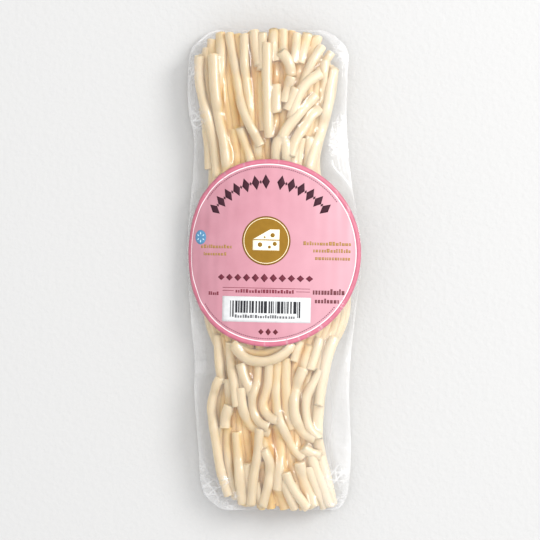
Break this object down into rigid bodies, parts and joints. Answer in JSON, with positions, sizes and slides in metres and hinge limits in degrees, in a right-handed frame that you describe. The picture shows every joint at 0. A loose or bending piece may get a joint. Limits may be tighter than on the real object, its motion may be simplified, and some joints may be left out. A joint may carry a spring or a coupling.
{
  "type": "string cheese in a vacuum bag",
  "caption": "Long bundle of pale cheese strings sealed in a clear vacuum bag with a flat skirt, with a round paper label bent over its front.",
  "frame": {"origin": "middle of the pack's box, on the surface that it lies on", "axes": "+Z out of the label, +Y along the strings, towards the end with the more slanting strings, +X across them"},
  "size_m": [0.0709, 0.195, 0.0228],
  "materials": {
    "cheese_in_film": "cream cheese strings under glossy clear film",
    "label_paper": "satin coated paper, pink"
  },
  "bodies": {
    "root": {"filled_bag": "cheese_in_film", "label": "label_paper"}
  },
  "joints": []
}
